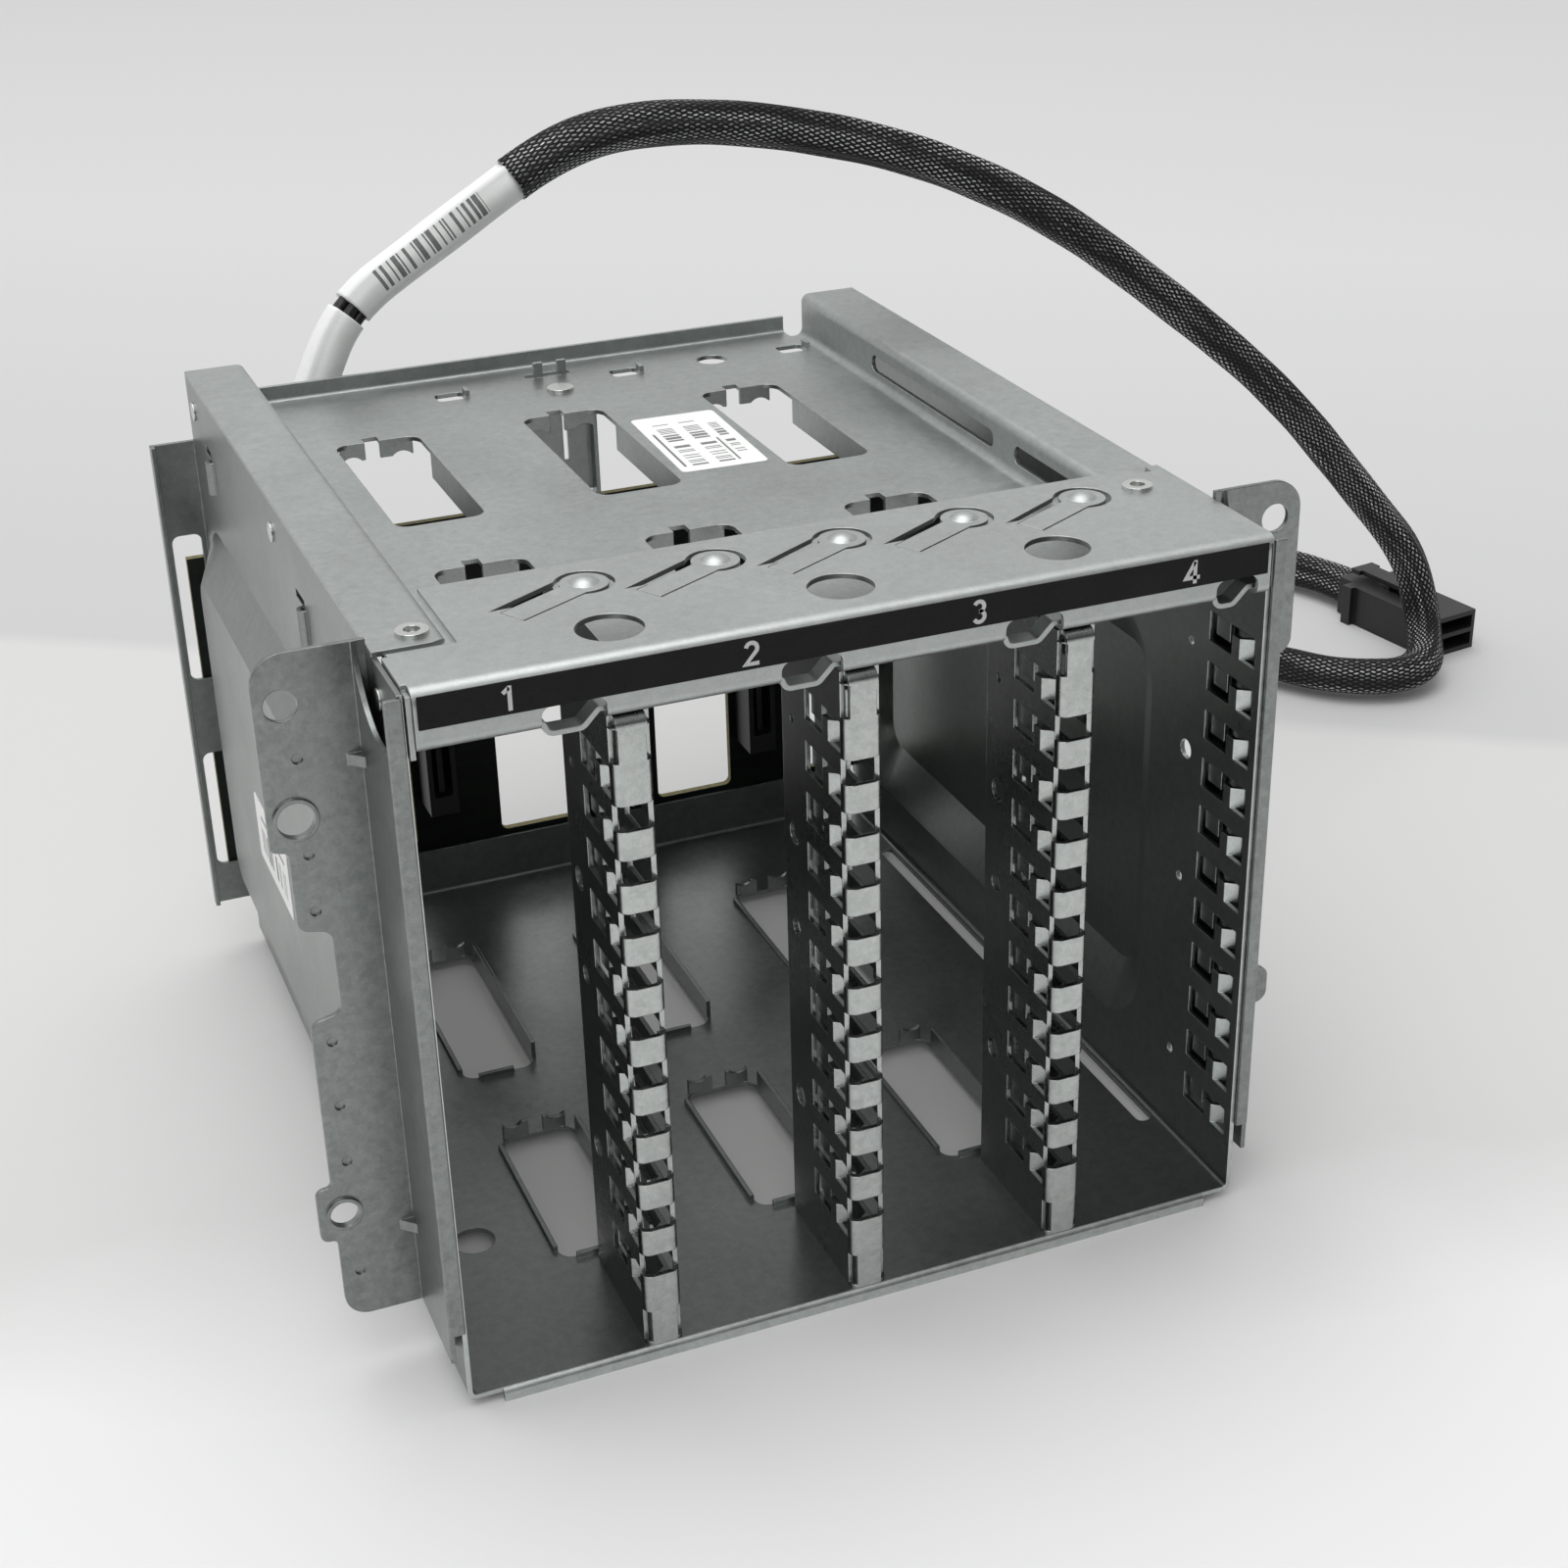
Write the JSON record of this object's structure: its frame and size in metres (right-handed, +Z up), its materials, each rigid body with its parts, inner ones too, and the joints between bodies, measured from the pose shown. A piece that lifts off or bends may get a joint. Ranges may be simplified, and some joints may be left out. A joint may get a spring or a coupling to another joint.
{
  "type": "hot swap drive cage",
  "caption": "Folded steel drive cage with upright hot swap bays, perforated dividers, a backplane and a braided power cord.",
  "frame": {"origin": "centre of the cage's underside", "axes": "+Z up, -Y is the open front where drives slide in, +X to the right seen from the front"},
  "size_m": [0.3327, 0.261, 0.1593],
  "materials": {
    "galvanized_steel": "satin galvanized sheet",
    "bright_galvanized_steel": "satin galvanized sheet",
    "screw_steel": "bright zinc",
    "black_label_film": "matte film",
    "board_laminate": "solder mask",
    "black_plastic": "moulded nylon",
    "connector_shield": "stamped shell",
    "white_label": "paper label",
    "black_braid": "woven polyester sleeve"
  },
  "bodies": {
    "cage": {"backplane_board": "board_laminate", "backplane_plug": "black_plastic", "backplane_screws": "screw_steel", "braided_cord": "black_braid", "cage_pan": "galvanized_steel", "cord_lead": "black_braid", "cord_sleeve_1": "white_label", "cord_sleeve_2": "white_label", "data_connector": "connector_shield", "divider_1": "galvanized_steel", "divider_2": "galvanized_steel", "divider_3": "galvanized_steel", "drive_connector_1": "black_plastic", "drive_connector_2": "black_plastic", "drive_connector_3": "black_plastic", "drive_connector_4": "black_plastic", "end_plug": "black_plastic", "front_header": "bright_galvanized_steel", "header_screws": "screw_steel", "label_strip": "black_label_film", "left_side_bracket": "galvanized_steel", "power_header": "black_plastic", "right_side_bracket": "galvanized_steel", "rivets": "bright_galvanized_steel", "side_label": "white_label", "top_cover": "galvanized_steel", "top_label": "white_label"},
    "spring_finger_1": {"spring_finger_1": "bright_galvanized_steel"},
    "spring_finger_2": {"spring_finger_2": "bright_galvanized_steel"},
    "spring_finger_3": {"spring_finger_3": "bright_galvanized_steel"},
    "spring_finger_4": {"spring_finger_4": "bright_galvanized_steel"},
    "spring_finger_5": {"spring_finger_5": "bright_galvanized_steel"},
    "end_plug_latch": {"end_plug_latch": "black_plastic"}
  },
  "joints": [
    {"name": "spring_finger_1_flex", "type": "hinge", "parent": "cage", "child": "spring_finger_1", "pos_m": [-0.0465, -0.06574, 0.1213], "axis": [-0.4802, 0.8771, 0], "range_deg": [0, 3], "stiffness_Nm_per_rad": 0.03},
    {"name": "spring_finger_2_flex", "type": "hinge", "parent": "cage", "child": "spring_finger_2", "pos_m": [-0.02593, -0.06574, 0.1213], "axis": [-0.4802, 0.8771, 0], "range_deg": [0, 3], "stiffness_Nm_per_rad": 0.03},
    {"name": "spring_finger_3_flex", "type": "hinge", "parent": "cage", "child": "spring_finger_3", "pos_m": [-0.00536, -0.06574, 0.1213], "axis": [-0.4802, 0.8771, 0], "range_deg": [0, 3], "stiffness_Nm_per_rad": 0.03},
    {"name": "spring_finger_4_flex", "type": "hinge", "parent": "cage", "child": "spring_finger_4", "pos_m": [0.01521, -0.06574, 0.1213], "axis": [-0.4802, 0.8771, 0], "range_deg": [0, 3], "stiffness_Nm_per_rad": 0.03},
    {"name": "spring_finger_5_flex", "type": "hinge", "parent": "cage", "child": "spring_finger_5", "pos_m": [0.03578, -0.06574, 0.1213], "axis": [-0.4802, 0.8771, 0], "range_deg": [0, 3], "stiffness_Nm_per_rad": 0.03},
    {"name": "end_plug_latch_press", "type": "hinge", "parent": "cage", "child": "end_plug_latch", "pos_m": [0.2376, 0.11436, 0.0118], "axis": [-0.9887, -0.1498, 0], "range_deg": [0, 4], "stiffness_Nm_per_rad": 0.02}
  ]
}
